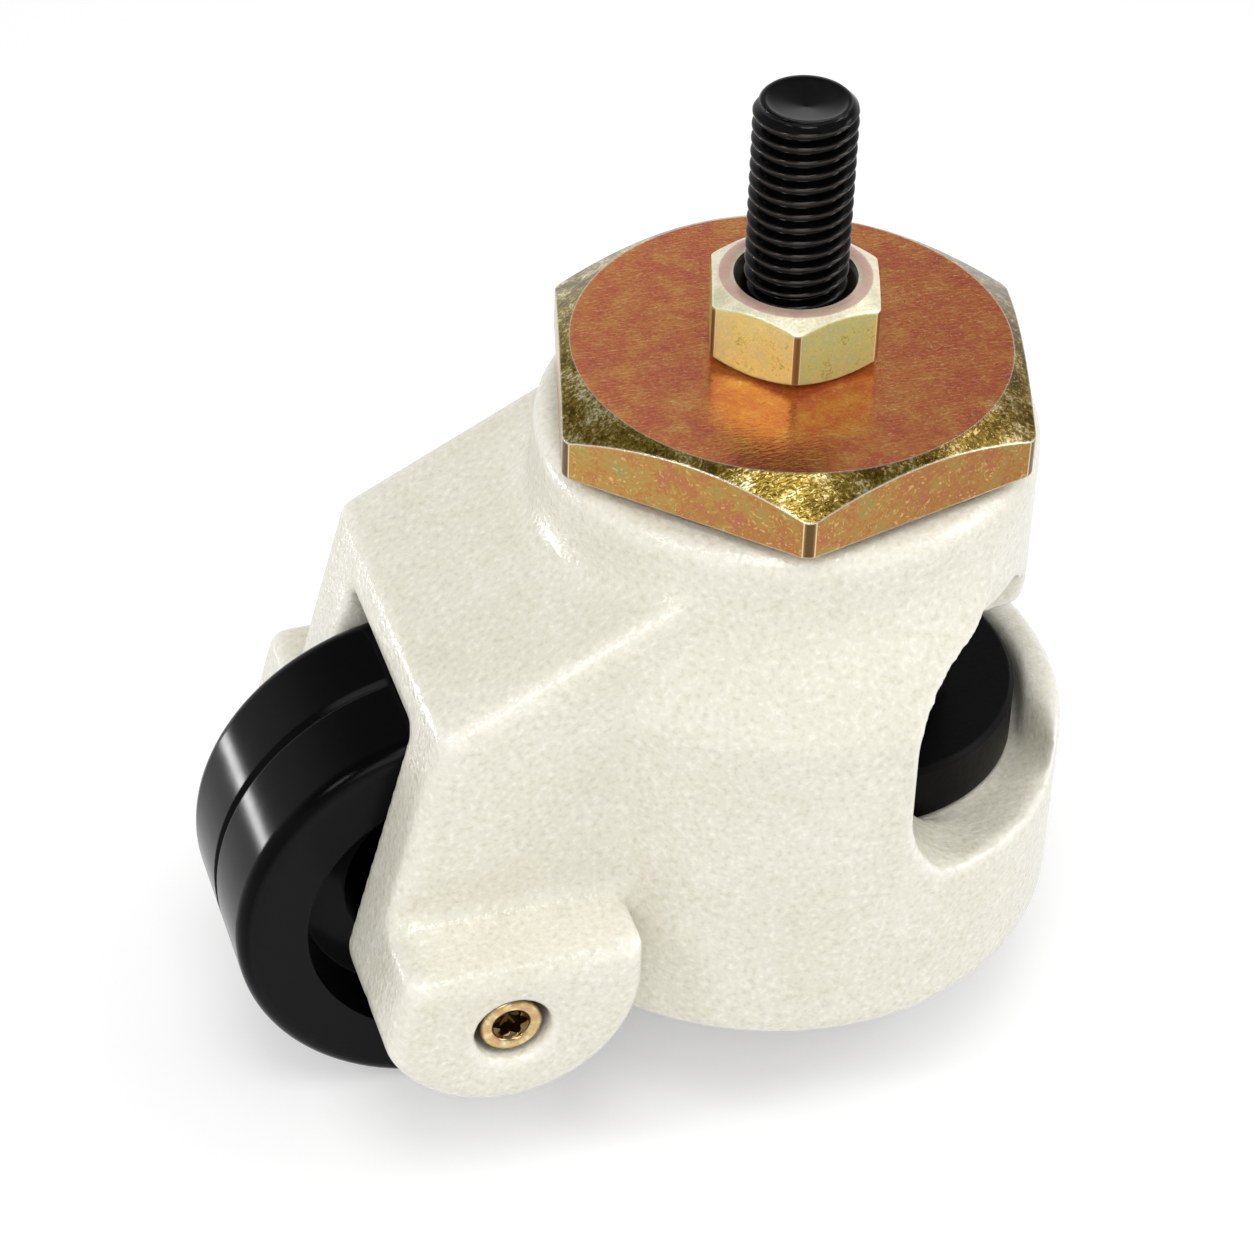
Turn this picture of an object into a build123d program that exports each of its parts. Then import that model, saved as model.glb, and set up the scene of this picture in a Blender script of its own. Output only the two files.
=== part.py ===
"""Levelling stem castor: threaded stud on a hexagon swivel plate, cast fork housing,
nylon wheel, and an adjusting dial that screws a foot down to the floor.

Frame: the swivel axis is Z, the floor is z = 0, the wheel trails towards -X and
turns about Y. The dial and the foot stand on an axis of their own behind Z.
"""
import os
from math import radians, sqrt, tan

from build123d import *

os.makedirs("parts", exist_ok=True)

# Clearances
fit = 0.03            # radial play of a ring on its seat
running = 0.08        # radial play of a shaft in its bore
slide_gap = 0.3       # gap between faces that turn past each other
race_play = 0.15      # play between a ball and the track it rolls in

# Wheel
wheel_d = 55.0
wheel_w = 25.0
tread_round = 2.2
tread_groove = 0.7
wheel_recess_d = 38.4
wheel_recess_depth = 7.0
wheel_hub_d = 25.0
wheel_hub_sink = 0.5
hub_shoulder_d = 15.0

# Wheel ball bearings, 6 x 19 x 6
wheel_brg_od = 19.0
wheel_brg_w = 6.0
wheel_brg_pitch_d = 12.5
wheel_ball_d = 3.5
wheel_ball_count = 7
ring_t = 2.0

# Axle
axle_d = 6.0
axle_washer_d = 10.0
axle_head_d = 7.6
axle_head_len = 6.8
axle_head_sink = 1.2
lug_hole_d = 9.2
socket_d = 4.9
socket_depth = 2.6

# Fork
wheel_side_gap = 1.0
pocket_gap = 1.1          # tread to the pocket's rear wall
pocket_headroom = 1.2     # further room of the pocket round the tread
arm_wall = 10.5
lug_out = 10.5
wheel_setback = 15.0      # swivel axis to the nearest point of the tread
roof_rise = 9.0           # top of the tread to the roof's front corner
roof_set = 5.5            # axle to the roof's front corner, along X
roof_slope = 27.7
front_rake = 14.3
lug_r = 16.0              # round of the lug's lower end
lug_mid_rise = 4.5        # axle to the centre of that round
lug_rise = 10.0           # axle to the lug's top
lug_edge = 2.4
lug_fillet = 2.0          # hollow between arm and lug, and the lug's front corner
rake_round = 4.0          # corner between the arm's round end and its raked front
mouth_round = 1.5         # top of the wheel pocket's mouth
hole_round = 0.6          # rim of an axle hole
fork_edge = 2.6

# Dial and spindle
dial_d = 43.0
dial_t = 8.0
dial_bevel = 0.6
dial_hub_wall = 2.5
dial_hub_drop = 1.5
dial_bay_gap = 1.1
partition = 1.3           # wheel pocket to dial bay, least wall
dial_nut_wall = 2.5
dial_washer_t = 0.8
spindle_d = 16.0
spindle_flats = 13.0
spindle_len = 41.0
spindle_chamfer = 1.0
guide_wall = 3.0
guide_flange = 2.0
guide_flange_t = 1.5

# Foot
pad_d = 36.0
pad_t = 6.0
pad_round = 1.2
foot_plate_d = 33.0
foot_plate_t = 3.0
foot_hub_wall = 2.0
foot_hub_h = 5.0
foot_pin_d = 3.0
foot_lift_up = 8.0

# Drum and boss of the housing
drum_bottom = 17.6
drum_edge = 1.6
floor_top = 35.6          # floor of the dial bay
floor_t = 4.0             # floor and walls left by the hollow under it
hollow_wall = 4.0
hollow_rib = 3.0
dish = 18.0               # slope of the ledge round the dial bay
dial_bay_h = 23.0
rear_wall = 4.1
rear_rim_h = 8.0
rear_rim_run = 6.0        # length of the ledge's rise to the rear rim
boss_d = 59.2
boss_edge = 2.4
shoulder_drop = 22.7      # boss top to the drum's shoulder
flare_drop = 9.5          # boss top to the flare's upper end
flare_round = 14.0
shoulder_edge = 4.0
boss_core_w = 24.0        # core left between the side windows
window_front = 5.2        # swivel axis to the front end of the side windows
window_bottom_r = 14.6
window_side_gap = 0.4     # front end of the side windows, behind the rear one's
arch_low = 2.5            # start of the windows' front arch, below the shoulder
arch_rise = 7.8           # top of that arch, above the shoulder
arch_run = 8.6
arch_bulge = 2.9          # and the point that it passes on the way
arch_bulge_rise = 3.9
window_roof_run = 8.2     # flat roof of the side windows, and where it runs out
window_roof_end = 17.4
rear_window_run = 22.0

# Kingpin and swivel bearings
stud_d = 12.0
stud_out = 23.0
stud_chamfer = 0.8
stud_neck = 0.4           # nut's face to the start of the free thread
thread_pitch_d = 10.9     # where the threads of stud and nut meet
dimple_d = 7.0
journal_d = 15.0
king_head_d = 18.6
king_head_t = 3.5
king_cap_d = 24.6
king_cap_t = 1.5
king_cap_gap = 0.6
king_washer_t = 1.2
king_web = 3.5
swivel_brg_od = 32.0
swivel_brg_w = 9.0
swivel_brg_pitch_d = 23.5
swivel_ball_d = 4.76
swivel_ball_count = 9
swivel_ring_t = 2.6
race_step = 1.0           # top of the radial bearing to the seat of the race
race_t = 2.2
race_groove = 0.8
race_pitch_d = 41.0
race_w = 8.6
thrust_ball_d = 4.76
thrust_ball_count = 18
cage_t = 1.2
plate_gap = 1.3
plate_af = 53.4
plate_t = 8.0
plate_top_d = 51.0
plate_cone = 32.3
plate_corner = 2.0
plate_turn = 14.8
nut_af = 19.0
nut_h = 9.0
nut_top_d = 17.5
nut_cone = 30.0
nut_mouth_d = 14.0
nut_turn = 12.0

# Places that follow from the sizes
wheel_r = wheel_d / 2
axle_x = -(wheel_r + wheel_setback)
axle_z = wheel_r
arm_in = wheel_w / 2 + wheel_side_gap
arm_out = arm_in + arm_wall
lug_face = arm_out + lug_out
pocket_r = wheel_r + pocket_gap + pocket_headroom
bay_r = dial_d / 2 + dial_bay_gap
pocket_x = pocket_gap - wheel_setback - pocket_r
pocket_z = axle_z + pocket_headroom / 2
pocket_at_floor = pocket_x + sqrt(pocket_r**2 - (floor_top - pocket_z) ** 2)
dial_x = pocket_at_floor + partition + bay_r
dial_nut_d = spindle_d + 2 * dial_nut_wall
dial_hub_d = dial_nut_d + 2 * dial_hub_wall
guide_d = spindle_d + 2 * guide_wall
guide_flange_d = guide_d + 2 * guide_flange
foot_hub_d = spindle_d + 2 * foot_hub_wall
drum_r = dial_x + bay_r + rear_wall
boss_r = boss_d / 2
boss_bottom = floor_top + dial_bay_h
cap_top = boss_bottom + king_cap_t
head_bottom = cap_top + king_cap_gap
head_top = head_bottom + king_head_t
web_bottom = head_top + king_washer_t
web_top = web_bottom + king_web
race_seat = web_top + swivel_brg_w + race_step
ball_z = race_seat + race_t - race_groove + thrust_ball_d / 2
plate_bottom = 2 * ball_z - race_seat + race_play
boss_top = plate_bottom - plate_gap
plate_top = plate_bottom + plate_t
nut_top = plate_top + nut_h
stud_top = nut_top + stud_out
shoulder_z = boss_top - shoulder_drop
flare_z = boss_top - flare_drop
rear_rim = floor_top + rear_rim_h
race_seat_r = (race_pitch_d + race_w) / 2
bush_bottom = pad_t + foot_plate_t + foot_hub_h + foot_lift_up + 2 * slide_gap + guide_flange_t
hole_floor = lug_face - axle_head_sink - axle_head_len
washer_out = arm_in
washer_in = wheel_w / 2 - wheel_hub_sink

wheel_plane = Plane(origin=(axle_x, 0, axle_z), x_dir=(0, 1, 0), z_dir=(1, 0, 0))
wheel_axis = Axis((axle_x, 0, axle_z), (0, 1, 0))
dial_plane = Plane(origin=(dial_x, 0, 0), x_dir=(1, 0, 0), z_dir=(0, -1, 0))
dial_axis = Axis((dial_x, 0, 0), (0, 0, 1))
wheel_brg_mid = washer_in - wheel_brg_w / 2


def finish(builder, label):
    """Label a finished piece and write it under its own name."""
    builder.part.label = label
    export_step(builder.part, f"parts/{label}.step")


def ring_section(r_in, r_out, low, high):
    """A ring's half section: radius along the sketch's x, height along its y."""
    with Locations(((r_in + r_out) / 2, (low + high) / 2)):
        Rectangle(r_out - r_in, high - low)


# Fork: a roof that rises to the boss, and two arms whose lower ends are round
shelf_z = axle_z + lug_rise
lug_mid_z = axle_z + lug_mid_rise
roof_corner = (axle_x - roof_set, wheel_d + roof_rise)
rake_reach = roof_corner[1] * tan(radians(front_rake))
rake_foot = (roof_corner[0] - rake_reach, 0)
fork_end_x = -boss_r * 0.54
fork_end = (fork_end_x, roof_corner[1] + (fork_end_x - roof_corner[0]) * tan(radians(roof_slope)))


def arm_end():
    """Side view of an arm's lower end: round below, cut off in front along the rake."""
    with Locations((axle_x, lug_mid_z)):
        Circle(lug_r)
    with Locations((axle_x + lug_r / 2, (lug_mid_z + shelf_z) / 2)):
        Rectangle(lug_r, shelf_z - lug_mid_z)
    with Locations((axle_x, shelf_z + lug_r)):
        Rectangle(4 * lug_r, 2 * lug_r, mode=Mode.SUBTRACT)
    Polygon(
        roof_corner,
        rake_foot,
        (rake_foot[0] - lug_r, 0),
        (rake_foot[0] - lug_r, roof_corner[1]),
        align=None,
        mode=Mode.SUBTRACT,
    )


with BuildPart() as fork_blank:
    with BuildSketch(Plane.XZ):
        arm_end()
        rake_at_shelf = roof_corner[0] - (roof_corner[1] - shelf_z) * tan(radians(front_rake))
        Polygon(
            roof_corner,
            (rake_at_shelf, shelf_z),
            (axle_x + lug_r, shelf_z),
            (axle_x + lug_r, lug_mid_z),
            (pocket_x + pocket_r, lug_mid_z),
            (fork_end_x, fork_end[1] - roof_rise),
            fork_end,
            align=None,
        )
    extrude(amount=arm_out, both=True)
    front_edges = fork_blank.edges().filter_by_position(Axis.X, rake_foot[0], roof_corner[0] + 25)
    fillet(front_edges.filter_by(lambda e: abs(abs(e.center().Y) - arm_out) < 0.01), fork_edge)

# Lug: the thickened end of an arm that holds the axle's head
with BuildPart() as lug_blank:
    with BuildSketch(Plane.XZ.offset(arm_out - 1)):
        arm_end()
    extrude(amount=lug_out + 1)
    fillet(lug_blank.faces().sort_by(Axis.Y)[0].edges(), lug_edge)

# Window cut: open from side to side above a dished ledge round the dial bay
window_low = window_front + window_bottom_r
rim_x = dial_x + bay_r
arch_mid = (window_front + arch_bulge, shoulder_z + arch_bulge_rise)
arch_end = (window_front + arch_run, shoulder_z + arch_rise)
rise_end = rim_x + 1
with BuildPart() as window_cut:
    with BuildSketch(Plane.XZ):
        with BuildLine():
            RadiusArc((window_low, floor_top), (window_front, floor_top + window_bottom_r), window_bottom_r)
            Line((window_front, floor_top + window_bottom_r), (window_front, shoulder_z - arch_low))
            ThreePointArc((window_front, shoulder_z - arch_low), arch_mid, arch_end)
            Polyline(
                arch_end,
                (window_front + rear_window_run, boss_top + 1),
                (2 * drum_r, boss_top + 1),
                (2 * drum_r, rear_rim),
                (rise_end, rear_rim),
            )
            Spline(
                (rise_end, rear_rim),
                (rise_end - rear_rim_run, floor_top),
                tangents=((-1, 0), (-1, 0)),
            )
            Line((rise_end - rear_rim_run, floor_top), (window_low, floor_top))
        make_face()
    extrude(amount=drum_r + 1, both=True)
    with BuildSketch(dial_plane):
        with BuildLine():
            Polyline(
                (0, floor_top),
                (bay_r, floor_top),
                (bay_r + drum_r, floor_top + drum_r * tan(radians(dish))),
                (bay_r + drum_r, boss_top + 2),
                (0, boss_top + 2),
                close=True,
            )
        make_face()
    revolve(axis=dial_axis, mode=Mode.INTERSECT)

# Housing: one casting with the fork, the drum for the foot and the boss for the swivel
with BuildPart() as housing:
    # Drum with its shoulder and the flare up to the boss
    with BuildSketch(Plane.XZ) as drum_side:
        with BuildLine():
            Polyline(
                (0, drum_bottom),
                (drum_r, drum_bottom),
                (drum_r, shoulder_z),
                (boss_r, flare_z),
                (boss_r, boss_top - boss_edge),
                (0, boss_top - boss_edge),
                close=True,
            )
        make_face()
        fillet(drum_side.vertices().sort_by_distance((drum_r, drum_bottom))[0], drum_edge)
        fillet(drum_side.vertices().sort_by_distance((drum_r, shoulder_z))[0], shoulder_edge)
        fillet(drum_side.vertices().sort_by_distance((boss_r, flare_z))[0], flare_round)
    revolve(axis=Axis.Z)
    add(window_cut.part, mode=Mode.SUBTRACT)
    # Fork and lugs
    add(fork_blank.part)
    add(lug_blank.part)
    add(lug_blank.part.mirror(Plane.XZ))
    # Boss
    with BuildSketch(Plane.XZ) as boss_side:
        with BuildLine():
            Polyline(
                (0, boss_bottom),
                (boss_r, boss_bottom),
                (boss_r, boss_top),
                (0, boss_top),
                close=True,
            )
        make_face()
        fillet(boss_side.vertices().sort_by_distance((boss_r, boss_bottom))[0], boss_edge)
        fillet(boss_side.vertices().sort_by_distance((boss_r, boss_top))[0], boss_edge)
    revolve(axis=Axis.Z)
    # Side windows rise beside the boss's core
    side_front = window_front + window_side_gap
    roof_z = arch_end[1] - 2 * window_side_gap
    for side in (-1, 1):
        with BuildSketch(Plane.XZ.offset(-side * boss_core_w / 2)):
            with BuildLine():
                Line((side_front, boss_bottom - 1), (side_front, shoulder_z - arch_low))
                ThreePointArc((side_front, shoulder_z - arch_low), arch_mid, (arch_end[0], roof_z))
                Polyline(
                    (arch_end[0], roof_z),
                    (arch_end[0] + window_roof_run, roof_z),
                    (arch_end[0] + window_roof_end, boss_bottom - 1),
                    (side_front, boss_bottom - 1),
                )
            make_face()
        extrude(amount=-side * drum_r, mode=Mode.SUBTRACT)
    # Dial bay
    with BuildSketch(Plane.XY.offset(floor_top)):
        with Locations((dial_x, 0)):
            Circle(bay_r)
    extrude(amount=dial_bay_h, mode=Mode.SUBTRACT)
    # Wheel pocket
    with BuildSketch(Plane.XZ):
        with Locations((pocket_x, pocket_z)):
            Circle(pocket_r)
        with Locations((pocket_x, (pocket_z - 1) / 2)):
            Rectangle(2 * pocket_r, pocket_z + 1)
    extrude(amount=arm_in, both=True, mode=Mode.SUBTRACT)
    # Seats of the kingpin and its bearings
    with BuildSketch(Plane.XZ):
        ring_section(0, king_cap_d / 2 + fit, boss_bottom - 1, cap_top)
        ring_section(0, king_head_d / 2 + 1, cap_top - 1, web_bottom)
        ring_section(0, journal_d / 2 + 0.5, web_bottom - 1, web_top + 1)
        ring_section(0, swivel_brg_od / 2 + fit, web_top, race_seat + 1)
        ring_section(0, race_seat_r + fit, race_seat, boss_top + 1)
    revolve(axis=Axis.Z, mode=Mode.SUBTRACT)
    # Hollow under the drum, round the bush's hub, with two ribs
    with BuildSketch(Plane.XY.offset(drum_bottom - 1)):
        Circle(drum_r - hollow_wall)
        with Locations((dial_x, 0)):
            Circle(guide_flange_d / 2 + hollow_wall, mode=Mode.SUBTRACT)
            Rectangle(hollow_rib, 2 * drum_r, mode=Mode.SUBTRACT)
        with Locations((pocket_x + pocket_r + hollow_wall - drum_r, 0)):
            Rectangle(2 * drum_r, 3 * drum_r, mode=Mode.SUBTRACT)
    extrude(amount=floor_top - floor_t - drum_bottom + 1, mode=Mode.SUBTRACT)
    # Seat of the guide bush
    with BuildSketch(Plane.XY.offset(drum_bottom)):
        with Locations((dial_x, 0)):
            Circle(guide_flange_d / 2 + fit)
    extrude(amount=bush_bottom - drum_bottom, mode=Mode.SUBTRACT)
    with BuildSketch(Plane.XY.offset(drum_bottom)):
        with Locations((dial_x, 0)):
            Circle(guide_d / 2 + fit)
    extrude(amount=floor_top - drum_bottom + 1, mode=Mode.SUBTRACT)
    # Axle holes, counterbored from outside
    with BuildSketch(Plane.XZ):
        with Locations((axle_x, axle_z)):
            Circle(axle_d / 2 + fit)
    extrude(amount=lug_face, both=True, mode=Mode.SUBTRACT)
    for side in (-1, 1):
        with BuildSketch(Plane.XZ.offset(side * hole_floor)):
            with Locations((axle_x, axle_z)):
                Circle(lug_hole_d / 2)
        extrude(amount=side * (lug_face - hole_floor + 1), mode=Mode.SUBTRACT)
    # Cast rounds: the hollows over the lugs, the lugs' fronts, the rake and the mouth
    shelf_edges = housing.edges().filter_by(lambda e: abs(e.center().Z - shelf_z) < 0.01)
    fillet(shelf_edges.filter_by(Axis.X).filter_by(lambda e: abs(abs(e.center().Y) - arm_out) < 0.01), lug_fillet)
    shelf_edges = housing.edges().filter_by(lambda e: abs(e.center().Z - shelf_z) < 0.01)
    fillet(shelf_edges.filter_by(Axis.Y).filter_by(lambda e: e.center().X < axle_x), lug_fillet)
    cross_edges = housing.edges().filter_by(Axis.Y)
    fillet(cross_edges.filter_by_position(Axis.X, rake_foot[0], axle_x - 0.9 * lug_r), rake_round)
    cross_edges = housing.edges().filter_by(Axis.Y).filter_by(lambda e: abs(e.length - 2 * arm_in) < 0.01)
    fillet(cross_edges.sort_by(Axis.X)[0], mouth_round)
    rims = housing.edges().filter_by(GeomType.CIRCLE).filter_by(lambda e: abs(abs(e.center().Y) - lug_face) < 0.01)
    fillet(rims.filter_by(lambda e: abs(e.radius - lug_hole_d / 2) < 0.01), hole_round)
finish(housing, "housing")

# Kingpin with the mounting stud: head, journal and threaded stud in one
with BuildPart() as kingpin_stud:
    with BuildSketch(Plane.XZ):
        with BuildLine():
            Polyline(
                (0, head_bottom),
                (king_head_d / 2, head_bottom),
                (king_head_d / 2, head_top),
                (journal_d / 2, head_top),
                (journal_d / 2, plate_bottom),
                (thread_pitch_d / 2, plate_bottom),
                (thread_pitch_d / 2, nut_top + stud_neck),
                (stud_d / 2, nut_top + stud_neck),
                (stud_d / 2, stud_top - stud_chamfer),
                (stud_d / 2 - stud_chamfer, stud_top),
                (dimple_d / 2, stud_top),
                (0, stud_top - dimple_d / 5),
                close=True,
            )
        make_face()
    revolve(axis=Axis.Z)
finish(kingpin_stud, "kingpin_stud")

# Swivel plate: a large flat hexagon with a turned cone round its top face
with BuildPart() as swivel_plate:
    with BuildSketch(Plane.XY.offset(plate_bottom)) as plate_outline:
        RegularPolygon(plate_af / 2, 6, major_radius=False, rotation=plate_turn)
        fillet(plate_outline.vertices(), plate_corner)
    extrude(amount=plate_t)
    with BuildSketch(Plane.XZ):
        with BuildLine():
            reach = 0.6 * plate_af
            Polyline(
                (thread_pitch_d / 2 + fit, plate_bottom),
                (reach, plate_bottom),
                (reach, plate_top - (reach - plate_top_d / 2) * tan(radians(plate_cone))),
                (plate_top_d / 2, plate_top),
                (thread_pitch_d / 2 + fit, plate_top),
                close=True,
            )
        make_face()
    revolve(axis=Axis.Z, mode=Mode.INTERSECT)
finish(swivel_plate, "swivel_plate")

# Hexagon nut that clamps the swivel plate on the kingpin's shoulder
with BuildPart() as stem_nut:
    with BuildSketch(Plane.XY.offset(plate_top)) as nut_outline:
        RegularPolygon(nut_af / 2, 6, major_radius=False, rotation=nut_turn)
    extrude(amount=nut_h)
    with BuildSketch(Plane.XZ):
        with BuildLine():
            reach = 0.6 * nut_af
            drop = (reach - nut_top_d / 2) * tan(radians(nut_cone))
            mouth_drop = (nut_mouth_d - thread_pitch_d) / 2
            Polyline(
                (thread_pitch_d / 2 + fit, plate_top),
                (nut_top_d / 2, plate_top),
                (reach, plate_top + drop),
                (reach, nut_top - drop),
                (nut_top_d / 2, nut_top),
                (nut_mouth_d / 2, nut_top),
                (thread_pitch_d / 2 + fit, nut_top - mouth_drop),
                close=True,
            )
        make_face()
    revolve(axis=Axis.Z, mode=Mode.INTERSECT)
finish(stem_nut, "stem_nut")

# Thrust race pressed under the swivel plate, and its partner in the housing
def thrust_race(seat_z, grows):
    """A flat ring with a round track; it grows up or down from its seat."""
    with BuildPart() as race:
        with BuildSketch(Plane.XZ):
            low, high = sorted((seat_z, seat_z + grows * race_t))
            ring_section((race_pitch_d - race_w) / 2, (race_pitch_d + race_w) / 2, low, high)
            track_r = thrust_ball_d / 2 + race_play
            track_z = seat_z + grows * (race_t - race_groove + track_r)
            with Locations((race_pitch_d / 2, track_z)):
                Circle(track_r, mode=Mode.SUBTRACT)
        revolve(axis=Axis.Z)
    return race


finish(thrust_race(plate_bottom, -1), "upper_race")
finish(thrust_race(race_seat, 1), "lower_race")

with BuildPart() as thrust_balls:
    with Locations((0, 0, ball_z + race_play / 2)):
        with PolarLocations(race_pitch_d / 2, thrust_ball_count):
            Sphere(thrust_ball_d / 2)
finish(thrust_balls, "thrust_balls")

# Flat cage that spaces the thrust balls
with BuildPart() as thrust_cage:
    with BuildSketch(Plane.XY.offset(ball_z - cage_t / 2)):
        Circle(race_pitch_d / 2 + race_w * 0.45)
        Circle(race_pitch_d / 2 - race_w * 0.45, mode=Mode.SUBTRACT)
        with PolarLocations(race_pitch_d / 2, thrust_ball_count):
            Circle(thrust_ball_d / 2 + running, mode=Mode.SUBTRACT)
    extrude(amount=cage_t)
finish(thrust_cage, "thrust_cage")


# Deep-groove ball bearings: an inner ring, an outer ring and balls
def bearing_ring(r_in, r_out, width, pitch_r, track_r):
    """One ring about Z, centred on its width, with the ball track turned in it."""
    with BuildPart() as ring:
        with BuildSketch(Plane.XZ):
            ring_section(r_in, r_out, -width / 2, width / 2)
            with Locations((pitch_r, 0)):
                Circle(track_r, mode=Mode.SUBTRACT)
        revolve(axis=Axis.Z)
    return ring.part


swivel_brg_z = web_top + swivel_brg_w / 2
swivel_pitch_r = swivel_brg_pitch_d / 2
swivel_track_r = swivel_ball_d / 2 + race_play

with BuildPart() as swivel_bearing_inner:
    inner_r = journal_d / 2 + fit
    with Locations((0, 0, swivel_brg_z)):
        add(bearing_ring(inner_r, inner_r + swivel_ring_t, swivel_brg_w, swivel_pitch_r, swivel_track_r))
finish(swivel_bearing_inner, "swivel_bearing_inner")

with BuildPart() as swivel_bearing_outer:
    outer_r = swivel_brg_od / 2
    with Locations((0, 0, swivel_brg_z)):
        add(bearing_ring(outer_r - swivel_ring_t, outer_r, swivel_brg_w, swivel_pitch_r, swivel_track_r))
finish(swivel_bearing_outer, "swivel_bearing_outer")

with BuildPart() as swivel_bearing_balls:
    with Locations((0, 0, swivel_brg_z)):
        with PolarLocations(swivel_pitch_r, swivel_ball_count):
            Sphere(swivel_ball_d / 2)
finish(swivel_bearing_balls, "swivel_bearing_balls")

# Washer between the kingpin's head and the housing's web
with BuildPart() as kingpin_washer:
    with BuildSketch(Plane.XZ):
        ring_section(journal_d / 2 + fit, king_head_d / 2, head_top, web_bottom - running)
    revolve(axis=Axis.Z)
finish(kingpin_washer, "kingpin_washer")

# Cap pressed into the boss from below, over the kingpin's head
with BuildPart() as kingpin_cap:
    with BuildSketch(Plane.XY.offset(boss_bottom)):
        Circle(king_cap_d / 2)
    extrude(amount=king_cap_t)
finish(kingpin_cap, "kingpin_cap")

# Wheel: one moulding with a recess in each side and a hub for two bearings
with BuildPart() as wheel:
    with BuildSketch(wheel_plane) as wheel_side:
        with BuildLine():
            half_w = wheel_w / 2
            web_half = half_w - wheel_recess_depth
            hub_half = half_w - wheel_hub_sink
            shoulder_half = wheel_brg_mid - wheel_brg_w / 2
            Polyline(
                (-half_w, wheel_recess_d / 2),
                (-half_w, wheel_r),
                (-tread_groove, wheel_r),
                (0, wheel_r - tread_groove),
                (tread_groove, wheel_r),
                (half_w, wheel_r),
                (half_w, wheel_recess_d / 2),
                (web_half, wheel_recess_d / 2 - 0.8),
                (web_half, wheel_hub_d / 2 + 0.4),
                (hub_half, wheel_hub_d / 2),
                (hub_half, wheel_brg_od / 2 + fit),
                (shoulder_half, wheel_brg_od / 2 + fit),
                (shoulder_half, hub_shoulder_d / 2),
                (-shoulder_half, hub_shoulder_d / 2),
                (-shoulder_half, wheel_brg_od / 2 + fit),
                (-hub_half, wheel_brg_od / 2 + fit),
                (-hub_half, wheel_hub_d / 2),
                (-web_half, wheel_hub_d / 2 + 0.4),
                (-web_half, wheel_recess_d / 2 - 0.8),
                close=True,
            )
        make_face()
        for side in (-1, 1):
            fillet(wheel_side.vertices().sort_by_distance((side * half_w, wheel_r))[0], tread_round)
    revolve(axis=wheel_axis)
finish(wheel, "wheel")

wheel_pitch_r = wheel_brg_pitch_d / 2
wheel_track_r = wheel_ball_d / 2 + race_play
brg_places = [
    Plane(origin=(axle_x, side * wheel_brg_mid, axle_z), z_dir=(0, 1, 0)) for side in (-1, 1)
]

with BuildPart() as wheel_bearing_outers:
    outer_r = wheel_brg_od / 2
    with Locations(*brg_places):
        add(bearing_ring(outer_r - ring_t, outer_r, wheel_brg_w, wheel_pitch_r, wheel_track_r))
finish(wheel_bearing_outers, "wheel_bearing_outers")

with BuildPart() as wheel_bearing_inners:
    inner_r = axle_d / 2 + fit
    with Locations(*brg_places):
        add(bearing_ring(inner_r, inner_r + ring_t, wheel_brg_w, wheel_pitch_r, wheel_track_r))
finish(wheel_bearing_inners, "wheel_bearing_inners")

with BuildPart() as wheel_bearing_balls:
    with Locations(*brg_places):
        with PolarLocations(wheel_pitch_r, wheel_ball_count):
            Sphere(wheel_ball_d / 2)
finish(wheel_bearing_balls, "wheel_bearing_balls")

# Sleeve that keeps the two inner rings apart
with BuildPart() as bearing_spacer:
    with BuildSketch(wheel_plane):
        with Locations((0, axle_d / 2 + fit + ring_t * 0.4)):
            Rectangle(2 * shoulder_half, ring_t * 0.8)
    revolve(axis=wheel_axis)
finish(bearing_spacer, "bearing_spacer")

# Washers between the inner rings and the arms
with BuildPart() as axle_washers:
    with BuildSketch(wheel_plane):
        for side in (-1, 1):
            with Locations((side * (washer_in + washer_out) / 2, (axle_washer_d + axle_d + 2 * fit) / 4)):
                Rectangle(washer_out - washer_in, (axle_washer_d - axle_d) / 2 - fit)
    revolve(axis=wheel_axis)
finish(axle_washers, "axle_washers")


def head_socket(side):
    """Outline of the six-lobed driver socket in the end face of an axle head."""
    face_y = side * (hole_floor + axle_head_len)
    with BuildSketch(Plane(origin=(axle_x, face_y, axle_z), x_dir=(1, 0, 0), z_dir=(0, side, 0))) as socket:
        Circle(socket_d * 0.38)
        with PolarLocations(socket_d * 0.38, 6):
            Circle(socket_d * 0.12)
    return socket.sketch


# Axle bolt: head in the near lug, shank through the wheel into the barrel nut
with BuildPart() as axle_bolt:
    with BuildSketch(wheel_plane):
        with BuildLine():
            head_end = -(hole_floor + axle_head_len)
            nut_floor = hole_floor + axle_head_len - socket_depth - 0.6
            Polyline(
                (head_end, 0),
                (head_end, axle_head_d / 2 - 0.5),
                (head_end + 0.5, axle_head_d / 2),
                (-hole_floor, axle_head_d / 2),
                (-hole_floor, axle_d / 2),
                (hole_floor, axle_d / 2),
                (hole_floor, axle_d / 2 - 0.5),
                (nut_floor, axle_d / 2 - 0.5),
                (nut_floor, 0),
                close=True,
            )
        make_face()
    revolve(axis=wheel_axis)
    extrude(head_socket(-1), amount=-socket_depth, mode=Mode.SUBTRACT)
finish(axle_bolt, "axle_bolt")

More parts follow.
